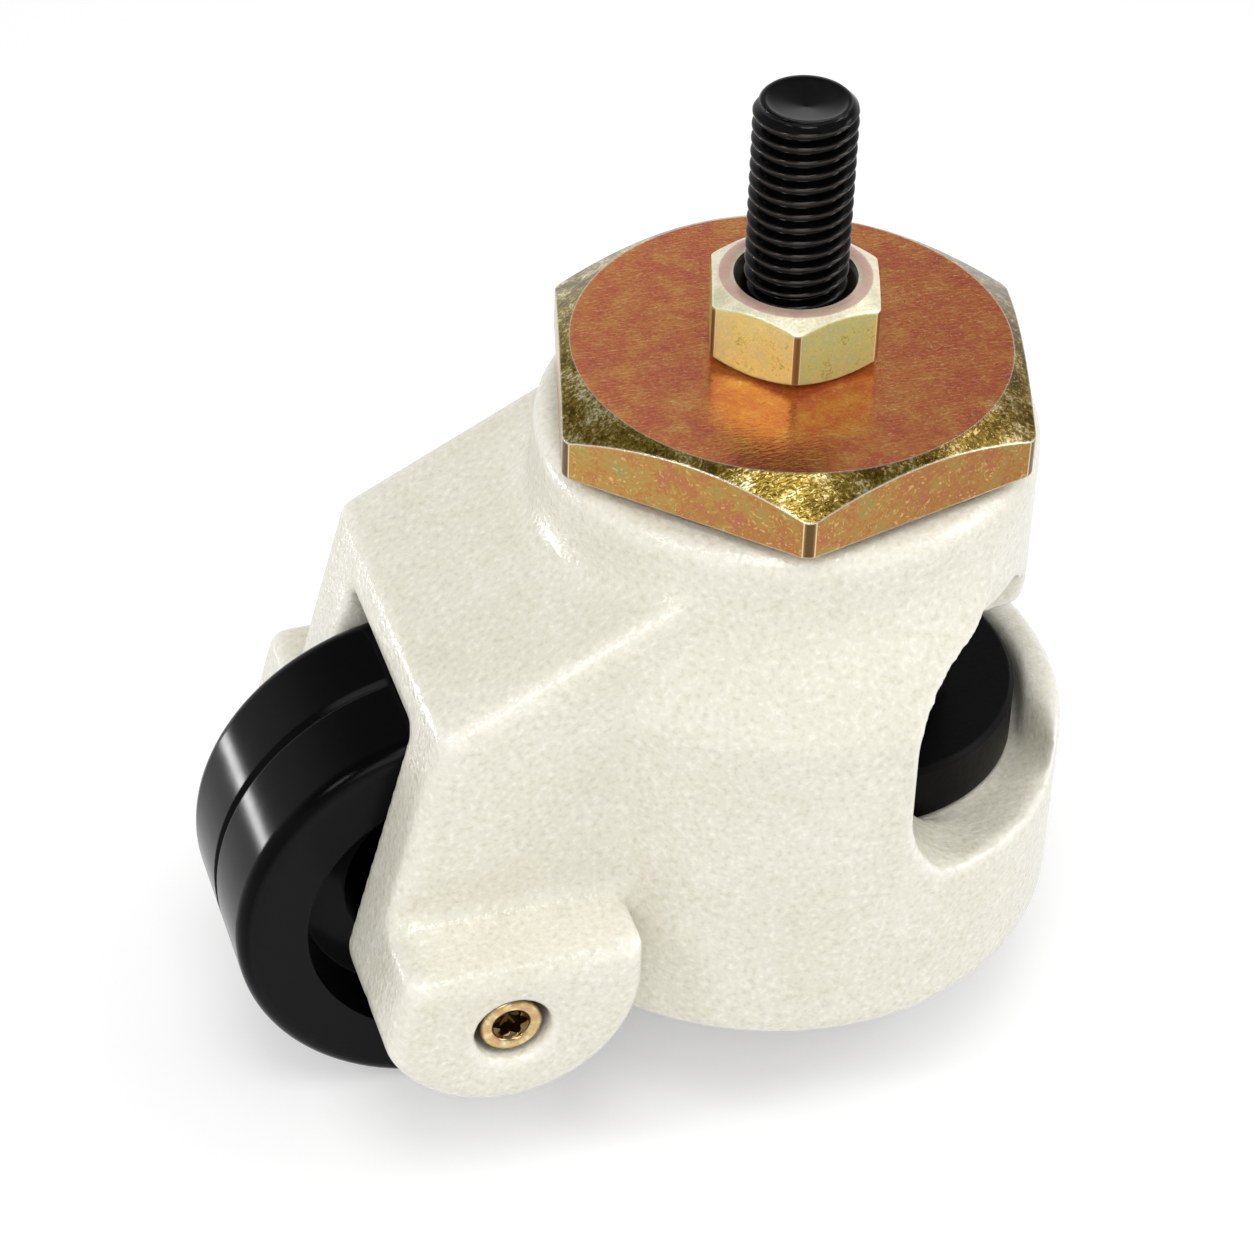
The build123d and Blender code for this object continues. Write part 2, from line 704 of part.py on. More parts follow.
# Barrel nut in the far lug, screwed onto the axle bolt
with BuildPart() as axle_nut:
    with BuildSketch(wheel_plane):
        with BuildLine():
            nut_end = hole_floor + axle_head_len
            bore_r = axle_d / 2 - 0.5 + fit
            Polyline(
                (hole_floor, bore_r),
                (hole_floor, axle_head_d / 2),
                (nut_end - 0.5, axle_head_d / 2),
                (nut_end, axle_head_d / 2 - 0.5),
                (nut_end, 0),
                (nut_floor, 0),
                (nut_floor, bore_r),
                close=True,
            )
        make_face()
    revolve(axis=wheel_axis)
    extrude(head_socket(1), amount=-socket_depth, mode=Mode.SUBTRACT)
finish(axle_nut, "axle_nut")

# Adjusting dial moulded round its nut
dial_bottom = floor_top + slide_gap
dial_nut_top = boss_bottom - slide_gap - dial_washer_t
with BuildPart() as dial:
    with BuildSketch(dial_plane):
        with BuildLine():
            hub_top = dial_nut_top - dial_hub_drop
            Polyline(
                (dial_nut_d / 2 + fit, dial_bottom),
                (dial_d / 2 - dial_bevel, dial_bottom),
                (dial_d / 2, dial_bottom + dial_bevel),
                (dial_d / 2, dial_bottom + dial_t - dial_bevel),
                (dial_d / 2 - dial_bevel, dial_bottom + dial_t),
                (dial_hub_d / 2, dial_bottom + dial_t),
                (dial_hub_d / 2, hub_top),
                (dial_nut_d / 2 + fit, hub_top),
                close=True,
            )
        make_face()
    revolve(axis=dial_axis)
finish(dial, "dial")

with BuildPart() as dial_nut:
    with BuildSketch(dial_plane):
        ring_section(spindle_d / 2 + running, dial_nut_d / 2, dial_bottom, dial_nut_top)
    revolve(axis=dial_axis)
finish(dial_nut, "dial_nut")

with BuildPart() as dial_washer:
    with BuildSketch(dial_plane):
        ring_section(spindle_d / 2 + 0.6, dial_nut_d / 2, dial_nut_top, dial_nut_top + dial_washer_t)
    revolve(axis=dial_axis)
finish(dial_washer, "dial_washer")

# Spindle: a screw with two flats, so that the dial lifts it without turning it
spindle_low = pad_t + 1
with BuildPart() as spindle:
    with BuildSketch(dial_plane):
        with BuildLine():
            spindle_top = spindle_low + spindle_len
            Polyline(
                (0, spindle_low),
                (spindle_d / 2, spindle_low),
                (spindle_d / 2, spindle_top - spindle_chamfer),
                (spindle_d / 2 - spindle_chamfer, spindle_top),
                (0, spindle_top),
                close=True,
            )
        make_face()
    revolve(axis=dial_axis)
    with BuildSketch(Plane.XY.offset(spindle_low)):
        with Locations((dial_x, 0)):
            Rectangle(spindle_d, spindle_flats)
    extrude(amount=spindle_len, mode=Mode.INTERSECT)
    pin_z = pad_t + foot_plate_t + foot_hub_h / 2
    with BuildSketch(Plane.XZ):
        with Locations((dial_x, pin_z)):
            Circle(foot_pin_d / 2 + fit)
    extrude(amount=spindle_d, both=True, mode=Mode.SUBTRACT)
finish(spindle, "spindle")

# Guide bush in the housing's floor, with a bore that fits the spindle's flats
with BuildPart() as guide_bush:
    with BuildSketch(dial_plane):
        ring_section(0, guide_d / 2, bush_bottom - guide_flange_t, floor_top)
        ring_section(0, guide_flange_d / 2, bush_bottom - guide_flange_t, bush_bottom)
    revolve(axis=dial_axis)
    with BuildSketch(Plane.XY.offset(drum_bottom)):
        with Locations((dial_x, 0)):
            Circle(spindle_d / 2 + running)
            Rectangle(2 * spindle_d, spindle_flats + 2 * running, mode=Mode.INTERSECT)
    extrude(amount=floor_top, mode=Mode.SUBTRACT)
finish(guide_bush, "guide_bush")

# Foot: steel plate with a hub, pinned to the spindle, and a rubber pad bonded below
with BuildPart() as foot_plate:
    with BuildSketch(dial_plane):
        hub_high = pad_t + foot_plate_t + foot_hub_h
        ring_section(0, foot_plate_d / 2, pad_t, pad_t + foot_plate_t)
        ring_section(0, foot_hub_d / 2, pad_t, hub_high)
    revolve(axis=dial_axis)
    with BuildSketch(Plane.XY.offset(spindle_low)):
        with Locations((dial_x, 0)):
            Circle(spindle_d / 2 + fit)
            Rectangle(2 * spindle_d, spindle_flats + 2 * fit, mode=Mode.INTERSECT)
    extrude(amount=foot_hub_h + foot_plate_t, mode=Mode.SUBTRACT)
    with BuildSketch(Plane.XZ):
        with Locations((dial_x, pin_z)):
            Circle(foot_pin_d / 2 + fit)
    extrude(amount=foot_hub_d, both=True, mode=Mode.SUBTRACT)
finish(foot_plate, "foot_plate")

with BuildPart() as foot_pin:
    with BuildSketch(Plane.XZ):
        with Locations((dial_x, pin_z)):
            Circle(foot_pin_d / 2)
    extrude(amount=foot_hub_d / 2 - 0.6, both=True)
finish(foot_pin, "foot_pin")

with BuildPart() as foot_pad:
    with BuildSketch(Plane.XY):
        with Locations((dial_x, 0)):
            Circle(pad_d / 2)
    extrude(amount=pad_t)
    fillet(foot_pad.edges().group_by(Axis.Z)[0], pad_round)
finish(foot_pad, "foot_pad")
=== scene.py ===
import math

import bmesh
import bpy
import numpy as np
from mathutils import Matrix, Vector


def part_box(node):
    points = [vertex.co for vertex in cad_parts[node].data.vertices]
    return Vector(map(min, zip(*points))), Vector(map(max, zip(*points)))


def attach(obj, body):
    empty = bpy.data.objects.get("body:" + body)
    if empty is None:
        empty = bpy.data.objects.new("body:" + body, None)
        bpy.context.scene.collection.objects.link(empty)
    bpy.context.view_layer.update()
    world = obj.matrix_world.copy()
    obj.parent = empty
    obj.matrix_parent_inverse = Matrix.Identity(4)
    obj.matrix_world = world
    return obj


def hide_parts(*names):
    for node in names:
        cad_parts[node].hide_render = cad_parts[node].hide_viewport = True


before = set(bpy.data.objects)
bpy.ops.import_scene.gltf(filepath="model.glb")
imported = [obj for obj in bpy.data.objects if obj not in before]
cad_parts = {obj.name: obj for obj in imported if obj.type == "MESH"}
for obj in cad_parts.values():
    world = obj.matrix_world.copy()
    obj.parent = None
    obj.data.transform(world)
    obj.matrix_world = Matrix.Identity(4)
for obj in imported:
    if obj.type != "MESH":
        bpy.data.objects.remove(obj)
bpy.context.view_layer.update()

# Floor: a pale matt sheet that keeps the castor's soft shadow and runs out to white.
# Camera, glossy and transmission rays see it a little lifted, as a bright backdrop is.
floor_half = 1.6
white_from = 0.13
white_to = 0.30
paper_lift = 0.36


def linear(hex_colour):
    """A colour written as sRGB hex, as linear red, green, blue and alpha 1."""
    value = np.array([int(hex_colour[i:i + 2], 16) for i in (1, 3, 5)]) / 255.0
    rgb = np.where(value <= 0.04045, value / 12.92, ((value + 0.055) / 1.055) ** 2.4)
    return (*rgb.tolist(), 1.0)


def add_node(tree, kind, settings=(), links=()):
    """Adds a shader node; each setting is an input's value or the node's own
    property, and each link joins an output of an earlier node to an input."""
    made = tree.nodes.new("ShaderNode" + kind)
    for key, value in dict(settings).items():
        if key == "stops":
            ramp = made.color_ramp
            while len(ramp.elements) < len(value):
                ramp.elements.new(0.5)
            for stop, (place, colour) in zip(ramp.elements, value):
                stop.position = place
                stop.color = linear(colour)
        elif isinstance(key, int) or key in made.inputs:
            made.inputs[key].default_value = value
        else:
            setattr(made, key, value)
    for key, output in dict(links).items():
        tree.links.new(output, made.inputs[key])
    return made


def between(tree, value, low, high, least=0.0, most=1.0, kind="LINEAR"):
    """least where value is low, going to most where it is high, and level beyond both."""
    limits = {"From Min": low, "From Max": high, "To Min": least, "To Max": most}
    made = add_node(tree, "MapRange", {"interpolation_type": kind, **limits}, {"Value": value})
    return made.outputs[0]


def axis_distance(tree, place, offset=(0, 0, 0), keep=(1, 1, 0)):
    """Distance from an axis: the object coordinates that keep leaves, moved by offset."""
    across = add_node(
        tree, "Mapping", {"Location": offset, "Scale": keep}, {"Vector": place.outputs["Object"]}
    )
    made = add_node(tree, "VectorMath", {"operation": "LENGTH"}, {0: across.outputs[0]})
    return made.outputs["Value"]


def backdrop_rays(tree):
    """1 for camera, glossy and transmission rays, which show the pale background."""
    ray = add_node(tree, "LightPath")
    camera_or_gloss = add_node(
        tree, "Math", {"operation": "MAXIMUM"},
        {0: ray.outputs["Is Camera Ray"], 1: ray.outputs["Is Glossy Ray"]},
    )
    shown = add_node(
        tree, "Math", {"operation": "MAXIMUM"},
        {0: camera_or_gloss.outputs[0], 1: ray.outputs["Is Transmission Ray"]},
    )
    return shown.outputs[0]


def new_material(name):
    """An empty node material; returns it with its tree."""
    material = bpy.data.materials.new(name)
    material.use_nodes = True
    material.node_tree.nodes.clear()
    return material, material.node_tree


def finish_material(tree, surface):
    """Links the surface shader to a new output node."""
    output = tree.nodes.new("ShaderNodeOutputMaterial")
    tree.links.new(surface, output.inputs["Surface"])


def mesh_piece(name, points, faces, material, smooth=True):
    """A new object at the origin from a point array and a list of face corner arrays."""
    mesh = bpy.data.meshes.new(name)
    mesh.from_pydata(np.asarray(points).reshape(-1, 3).tolist(), [], faces)
    mesh.materials.append(material)
    mesh.polygons.foreach_set("use_smooth", np.full(len(mesh.polygons), smooth))
    piece = bpy.data.objects.new(name, mesh)
    bpy.context.scene.collection.objects.link(piece)
    return piece


floor_material, tree = new_material("studio_paper")
radius = axis_distance(tree, add_node(tree, "TexCoord"))
fade = between(tree, radius, white_from, white_to, kind="SMOOTHSTEP")
paper = add_node(tree, "BsdfDiffuse", {"Color": linear("#d2d2d2")})
lift = add_node(tree, "Emission", {"Color": linear("#ffffff"), "Strength": paper_lift})
seen_paper = add_node(tree, "AddShader", (), {0: paper.outputs[0], 1: lift.outputs[0]})
white = add_node(tree, "Emission", {"Color": linear("#fdfdfd"), "Strength": 1.0})
seen = add_node(tree, "MixShader", (), {0: fade, 1: seen_paper.outputs[0], 2: white.outputs[0]})
unseen = add_node(tree, "BsdfDiffuse", {"Color": linear("#ececec")})
shown = backdrop_rays(tree)
surface = add_node(tree, "MixShader", (), {0: shown, 1: unseen.outputs[0], 2: seen.outputs[0]})
finish_material(tree, surface.outputs[0])

corner = np.array([(-1, -1, 0), (1, -1, 0), (1, 1, 0), (-1, 1, 0)]) * floor_half
floor = mesh_piece("floor", corner, [(0, 1, 2, 3)], floor_material, smooth=False)

# Light: an even studio, white low down and darker overhead. Soft boxes above, in front
# and at both sides, and a small low one behind the wheel, give the metal and the black
# nylon their bands.
wall_white = 0.22
ceiling_dark = 0.62
fill_strength = 0.62


def colours(tree, value, stops):
    """The colour at value along a ramp of stops, each a place and a hex colour."""
    return add_node(tree, "ValToRGB", {"stops": stops}, {"Fac": value}).outputs[0]


world = bpy.data.worlds.new("studio")
bpy.context.scene.world = world
world.use_nodes = True
tree = world.node_tree
tree.nodes.clear()
way = add_node(tree, "TexCoord")
height = add_node(tree, "SeparateXYZ", (), {0: way.outputs["Generated"]})
ceiling = between(tree, height.outputs["Z"], wall_white, ceiling_dark, kind="SMOOTHSTEP")
room = colours(tree, ceiling, [(0.0, "#fdfdfd"), (1.0, "#9c9c9e")])
fill = add_node(tree, "Background", {"Color": linear("#ffffff"), "Strength": fill_strength})
backdrop = add_node(tree, "Background", {"Strength": 1.0}, {"Color": room})
shown = backdrop_rays(tree)
mixed_light = add_node(tree, "MixShader", (), {0: shown, 1: fill.outputs[0], 2: backdrop.outputs[0]})
add_node(tree, "OutputWorld", (), {"Surface": mixed_light.outputs[0]})

# Each soft box by name: its place, its two sides and its power in watts
soft_boxes = {
    "box_above": ((-0.12, -0.38, 0.98), (0.40, 0.40), 2.8),
    "box_front": ((-0.45, -1.00, 0.95), (0.60, 0.60), 4.2),
    "box_left": ((-0.80, -0.25, 0.78), (0.16, 0.20), 1.5),
    "box_behind": ((-0.192, 0.136, 0.0085), (0.036, 0.014), 0.05),
    "box_right": ((0.80, -0.30, 0.56), (0.22, 0.70), 2.6),
    "box_high": ((0.72, 0.06, 0.70), (0.24, 0.24), 0.5),
}
lit_point = Vector((-0.01, 0, 0.05))
for name, (spot, sides, watts) in soft_boxes.items():
    lamp = bpy.data.lights.new(name, "AREA")
    lamp.shape = "RECTANGLE"
    lamp.size, lamp.size_y = sides
    lamp.energy = watts
    box = bpy.data.objects.new(name, lamp)
    facing = (lit_point - Vector(spot)).to_track_quat("-Z", "Y").to_matrix().to_4x4()
    box.matrix_world = Matrix.Translation(spot) @ facing
    box.visible_camera = False
    bpy.context.scene.collection.objects.link(box)

# Camera: a long lens a little left of the front and well above, as the photograph's.
# Its frame is square, 1254 pixels a side, and the picture is turned by two degrees.
camera_azimuth = math.radians(-18.86)
camera_elevation = math.radians(39.26)
camera_roll = math.radians(1.98)
camera_distance = 0.48233
camera_target = np.array((-0.01872, 0.0, 0.0561))
focal_pixels = 4041.5
frame_pixels = 1254
back = np.array((
    math.sin(camera_azimuth) * math.cos(camera_elevation),
    -math.cos(camera_azimuth) * math.cos(camera_elevation),
    math.sin(camera_elevation),
))
right = np.array((math.cos(camera_azimuth), math.sin(camera_azimuth), 0.0))
up = np.cross(back, right)
turned_right = math.cos(camera_roll) * right + math.sin(camera_roll) * up
turned_up = -math.sin(camera_roll) * right + math.cos(camera_roll) * up
lens = bpy.data.cameras.new("camera")
lens.sensor_width = 36.0
lens.lens = focal_pixels / frame_pixels * lens.sensor_width
camera = bpy.data.objects.new("camera", lens)
turn = Matrix(np.column_stack((turned_right, turned_up, back)).tolist()).to_4x4()
camera.matrix_world = Matrix.Translation(camera_target + camera_distance * back) @ turn
bpy.context.scene.collection.objects.link(camera)
bpy.context.scene.camera = camera
bpy.context.scene.view_settings.view_transform = "Standard"

# Housing: one aluminium die casting, shot-blasted, with a thick ivory powder coat baked
# to a fine pebble. Coat and casting round every edge, and the arms run into the drum in
# wide hollows, so the node's own form is skinned afresh and relaxed like thick paint.
voxel = 0.00056
edge_passes = 6
hollow_passes = 32
lug_passes = 420
lip_passes = 14
last_passes = 3
free_give = 0.5
seat_give = 0.1
seat_low = 0.058
seat_r = 0.0256
most_faces = 190000
pebble = 0.00078
grit = 0.00034
cloud = 0.012
# Millimetres, for the functions that tell the casting's regions apart
axle_mm_x, axle_mm_z = -42.5, 27.5
dial_mm_x = 9.04
pocket_half, pocket_top, pocket_front = 14.6, 58.5, -12
bay_r, bay_low, bay_high = 23.2, 34.5, 59.5
race_r, race_low = 26.2, 58.0
hole_r, hole_start = 5.6, 25
hollow_r, hollow_top, hollow_front = 34.5, 34.0, -26


def wrap_mesh(node, size):
    """A closed even skin over a node's merged copy, as points, edges and quads."""
    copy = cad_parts[node].data.copy()
    merged = bmesh.new()
    merged.from_mesh(copy)
    bmesh.ops.remove_doubles(merged, verts=merged.verts, dist=1e-6)
    merged.to_mesh(copy)
    merged.free()
    blank = bpy.data.objects.new(node + "_blank", copy)
    bpy.context.scene.collection.objects.link(blank)
    remesh = blank.modifiers.new("skin", "REMESH")
    remesh.mode = "VOXEL"
    remesh.voxel_size = size
    bpy.context.view_layer.update()
    skin = bpy.data.meshes.new_from_object(blank.evaluated_get(bpy.context.evaluated_depsgraph_get()))
    points = np.empty(3 * len(skin.vertices))
    skin.vertices.foreach_get("co", points)
    edges = np.empty(2 * len(skin.edges), dtype=np.int64)
    skin.edges.foreach_get("vertices", edges)
    quads = np.empty(len(skin.loops), dtype=np.int64)
    skin.loops.foreach_get("vertex_index", quads)
    bpy.data.objects.remove(blank)
    bpy.data.meshes.remove(skin)
    return points.reshape(-1, 3), edges.reshape(-1, 2), quads.reshape(-1, 4)


def sum_at(index, values, count):
    """The sum of the rows of values that share an index, as count rows."""
    return np.column_stack([np.bincount(index, values[:, k], count) for k in range(3)])


def pull(points, edges):
    """The way from each point to the mean of its neighbours."""
    count = len(points)
    first, second = edges[:, 0], edges[:, 1]
    total = sum_at(first, points[second], count) + sum_at(second, points[first], count)
    return total / np.bincount(edges.ravel(), minlength=count)[:, None] - points


def relax(points, edges, give, passes):
    """Moves each point by its give of its pull, in each pass."""
    for step in range(passes):
        points = points + give * pull(points, edges)
    return points


def outward(points, quads):
    """Unit normal at each point: the summed cross products of its quads' diagonals."""
    cross = np.cross(points[quads[:, 2]] - points[quads[:, 0]], points[quads[:, 3]] - points[quads[:, 1]])
    total = sum_at(quads.ravel(), np.repeat(cross, 4, axis=0), len(points))
    return total / np.maximum(np.linalg.norm(total, axis=1), 1e-12)[:, None]


def on_outside(points):
    """1 on the casting's outside, 0 in its pocket, bay, seats, axle holes and hollow."""
    x, y, z = (points * 1000).T
    pocket = (np.abs(y) < pocket_half) & (z < pocket_top) & (x < pocket_front)
    bay = (np.hypot(x - dial_mm_x, y) < bay_r) & (z > bay_low) & (z < bay_high)
    seats = (z > race_low) & (np.hypot(x, y) < race_r)
    holes = (np.hypot(x - axle_mm_x, z - axle_mm_z) < hole_r) & (np.abs(y) > hole_start)
    below = (z < hollow_top) & (np.hypot(x, y) < hollow_r) & (x > hollow_front)
    return 1.0 - (pocket | bay | seats | holes | below)


def rising(value, start, run):
    """0 up to start and 1 from start + run on; a negative run counts the other way."""
    return np.clip((value - start) / run, 0, 1)


def behind_lug(points):
    """1 in the valley between the back of each lug and the drum, fading to 0 round it."""
    x, y, z = (points * 1000).T
    along = rising(x, -33, 4) * rising(x, -4, -4)
    return along * rising(np.abs(y), 22, 3) * rising(z, 37, -4) * rising(z, 15.5, 2)


def beside_window(points):
    """1 on the drum's wall round the two dial windows, fading to 0 over 3 mm."""
    x, y, z = (points * 1000).T
    wall = rising(x, 9, 3) * rising(np.hypot(x, y), 25, 2)
    return wall * rising(z, 12, 3) * rising(z, 52, -3)


def fill_hollows(points, edges, quads, share, passes):
    """Raises points out of hollows, as thick paint runs into them: in each pass a point
    moves along its normal by half its share of the outward part of its pull."""
    part = share > 0
    part[edges[part[edges].any(axis=1)].ravel()] = True
    place = np.cumsum(part) - 1
    near_edges = place[edges[part[edges].all(axis=1)]]
    near_quads = place[quads[part[quads].all(axis=1)]]
    moved = points[part]
    weight = 0.5 * share[part][:, None]
    for step in range(passes):
        normal = outward(moved, near_quads)
        rise = np.sum(pull(moved, near_edges) * normal, axis=1)[:, None]
        moved = moved + weight * np.clip(rise, 0, None) * normal
    points[part] = moved


def object_noise(tree, place, size, detail, roughness=0.5, distortion=0.0):
    """Noise of the given size in metres over the object coordinates."""
    settings = {"Scale": 1 / size, "Detail": detail, "Roughness": roughness, "Distortion": distortion}
    return add_node(tree, "TexNoise", settings, {"Vector": place.outputs["Object"]}).outputs["Fac"]


def mixed(tree, share, first, second):
    """The colour first, mixed with the colour second by share, an output."""
    return add_node(tree, "Mix", {"data_type": "RGBA"}, {0: share, 6: first, 7: second}).outputs[2]


def multiplied(tree, first, second):
    """Two colours multiplied."""
    settings = {"data_type": "RGBA", "blend_type": "MULTIPLY", 0: 1.0}
    return add_node(tree, "Mix", settings, {6: first, 7: second}).outputs[2]


def tinted(tree, share, base, tint):
    """The colour base, mixed with the hex colour tint by share, an output."""
    settings = {"data_type": "RGBA", 7: linear(tint)}
    return add_node(tree, "Mix", settings, {0: share, 6: base}).outputs[2]


points, edges, quads = wrap_mesh("housing", voxel)
in_seat = (points[:, 2] > seat_low) & (np.hypot(points[:, 0], points[:, 1]) < seat_r)
give = np.where(in_seat, seat_give, free_give)[:, None]
points = relax(points, edges, give, edge_passes)
fill_hollows(points, edges, quads, on_outside(points), hollow_passes)
fill_hollows(points, edges, quads, behind_lug(points), lug_passes)
lip_give = free_give * beside_window(points)[:, None]
points = relax(points, edges, lip_give, lip_passes)
points = relax(points, edges, give, last_passes)

powder_coat, tree = new_material("ivory_powder_coat")
place = add_node(tree, "TexCoord")
pebbles = object_noise(tree, place, pebble, 2.0, 0.55)
grits = object_noise(tree, place, grit, 1.0)
clouds = object_noise(tree, place, cloud, 3.0, 0.6)
mottle = colours(
    tree, pebbles, [(0.30, "#d2cebd"), (0.42, "#dbd8ca"), (0.56, "#dfdccf"), (0.72, "#e9e6db")]
)
age = colours(tree, clouds, [(0.30, "#f7f6f1"), (0.70, "#ffffff")])
# Painted highlight: convex edges, found by pointiness, are painted lighter towards #f8f7f2.
bend = add_node(tree, "NewGeometry")
edge_highlight = between(tree, bend.outputs["Pointiness"], 0.508, 0.560, most=0.9)
painted_edge_highlight = tinted(tree, edge_highlight, multiplied(tree, mottle, age), "#f8f7f2")
relief = add_node(tree, "Math", {"operation": "MULTIPLY_ADD", 1: 0.40}, {0: grits, 2: pebbles})
bump = add_node(tree, "Bump", {"Strength": 0.9, "Distance": 0.00012}, {"Height": relief.outputs[0]})
coat = add_node(
    tree, "BsdfPrincipled", {"Roughness": 0.20, "IOR": 1.5, "Specular IOR Level": 0.75},
    {"Base Color": painted_edge_highlight, "Normal": bump.outputs[0]},
)
finish_material(tree, coat.outputs[0])

casting = mesh_piece("coated_casting", points, quads.tolist(), powder_coat)
thin = casting.modifiers.new("thin", "DECIMATE")
thin.ratio = most_faces / (2 * len(quads))
bpy.context.view_layer.update()
casting.data = bpy.data.meshes.new_from_object(casting.evaluated_get(bpy.context.evaluated_depsgraph_get()))
casting.modifiers.clear()
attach(casting, "housing")
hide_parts("housing")

# Wheel and dial: black nylon mouldings. The tread is skimmed in a lathe and shows soft
# grey bands where it mirrors the studio; the dial is left as moulded, and duller.


def dress(node, material):
    """Gives a CAD node its material."""
    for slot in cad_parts[node].material_slots:
        slot.material = material


def black_nylon(name, tread, side, roughness, grain, relief):
    """Black polyamide with a faint moulded skin, its grain in metres. Faces square to the
    axle have the colour side, as left by the mould, and the rest the colour tread."""
    material, tree = new_material(name)
    place = add_node(tree, "TexCoord")
    skin = object_noise(tree, place, grain, 3.0)
    normal = add_node(tree, "SeparateXYZ", (), {0: place.outputs["Normal"]})
    sideways = add_node(tree, "Math", {"operation": "ABSOLUTE"}, {0: normal.outputs["Y"]})
    shade = colours(tree, sideways.outputs[0], [(0.80, tread), (0.95, side)])
    gleam = between(tree, skin, 0, 1, roughness - 0.03, roughness + 0.03)
    edge = add_node(tree, "Bevel", {"Radius": 0.0004, "samples": 4})
    bump = add_node(
        tree, "Bump", {"Strength": relief, "Distance": 0.0001}, {"Height": skin, "Normal": edge.outputs[0]}
    )
    gloss = add_node(
        tree, "BsdfPrincipled", {"IOR": 1.53, "Specular IOR Level": 0.06},
        {"Base Color": shade, "Roughness": gleam, "Normal": bump.outputs[0]},
    )
    finish_material(tree, gloss.outputs[0])
    return material


dress("wheel", black_nylon("turned_black_nylon", "#020202", "#141415", 0.16, 0.0030, 0.10))
dress("dial", black_nylon("moulded_black_nylon", "#060606", "#060606", 0.38, 0.0008, 0.30))

# Stud: the kingpin's top end, thread-rolled M12 x 1.75 and blackened. The whole kingpin is
# one piece: head, journal, the neck inside the plate and nut, and the free thread.
pin_low, pin_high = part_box("kingpin_stud")
head_z, stud_top = pin_low[2], pin_high[2]
nut_low, nut_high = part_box("stem_nut")
nut_top = nut_high[2]
pitch = 0.00175
crest_flat, root_flat = 1 / 8, 1 / 4
flank_round = 0.35
thread_r = 0.00594
thread_depth = 0.00107
thread_foot = nut_top - 0.0012
end_chamfer = 0.0009
neck_r = 0.00545
pin_head_r, pin_head_h, pin_head_edge = 0.0093, 0.0035, 0.0003
journal_r, journal_top = 0.0075, nut_top - 0.0170
nut_mouth_r = 0.0070
mouth_gap = 0.00006
dimple_r, dimple_depth, dimple_rows = 0.0044, 0.0009, 12
lip_step = 0.00005
closed_r = 1e-5
thread_columns = 96
rows_per_pitch = 14


def ring_quads(rows, columns):
    """Quads of a surface of closed rings, row by row, with the faces out where the rows
    rise and the columns run counterclockwise."""
    i, j = np.meshgrid(np.arange(rows - 1), np.arange(columns), indexing="ij")
    near, far = i * columns + j, i * columns + (j + 1) % columns
    return np.stack((near, far, far + columns, near + columns), axis=-1).reshape(-1, 4)


def turned_surface(radius, height, columns):
    """A surface round Z: row i lies at radius[i] and height[i], arrays of rows by columns,
    at angle 2 pi j / columns in column j. Returns its points and its quads, faces out."""
    angle = 2 * np.pi * np.arange(columns) / columns
    points = np.stack((radius * np.cos(angle), radius * np.sin(angle), height), axis=-1)
    return points.reshape(-1, 3), ring_quads(radius.shape[0], columns)


# Below the thread the outline is the node's own: (radius, height) from the head upwards
below = np.array([
    (closed_r, head_z),
    (pin_head_r - pin_head_edge, head_z),
    (pin_head_r, head_z + pin_head_edge),
    (pin_head_r, head_z + pin_head_h - pin_head_edge),
    (pin_head_r - pin_head_edge, head_z + pin_head_h),
    (journal_r, head_z + pin_head_h),
    (journal_r, journal_top),
    (neck_r, journal_top),
    (neck_r, thread_foot - 0.0001),
])
# The thread: depth falls from the crest's flat, an eighth of the pitch wide, along flanks
# a little rounded at both ends to the root's flat, a quarter wide. It runs out into the
# nut's mouth below and the end's chamfer above
rows = int((stud_top - thread_foot) / pitch * rows_per_pitch)
rise = np.linspace(thread_foot, stud_top, rows)[:, None]
around = np.arange(thread_columns)[None, :] / thread_columns
from_root = np.abs((rise / pitch - around) % 1.0 - 0.5)
cut = np.clip((0.5 - from_root - crest_flat / 2) / (0.5 - root_flat / 2 - crest_flat / 2), 0, 1)
cut = flank_round * cut * cut * (3 - 2 * cut) + (1 - flank_round) * cut
crest = np.minimum(thread_r, thread_r - end_chamfer + (stud_top - rise))
nut_mouth = nut_mouth_r - (nut_top - rise) - mouth_gap
crest = np.minimum(crest, np.where(rise < nut_top, nut_mouth, np.inf))
thread = np.maximum(np.minimum(crest, thread_r - thread_depth * cut), thread_r - thread_depth)
thread = np.minimum(thread, crest)
# The end: a narrow lip round a turned dimple
dimple = np.linspace(1.0, 0.0, dimple_rows)[:, None]
end_r = thread[-1].min() - 0.0001
lip = np.array([(end_r, 0.00002), (dimple_r + 0.0002, lip_step), (dimple_r + 0.0001, 0.0)])
dimple_z = stud_top - 2 * lip_step - dimple_depth * (1 - dimple) ** 0.9
level = np.ones((1, thread_columns))
radius = np.concatenate((
    below[:, :1] * level, thread, lip[:, :1] * level, np.maximum(dimple_r * dimple, closed_r) * level,
))
height = np.concatenate((
    below[:, 1:] * level, rise * level, (stud_top - lip_step + lip[:, 1:]) * level, dimple_z * level,
))
points, quads = turned_surface(radius, height, thread_columns)

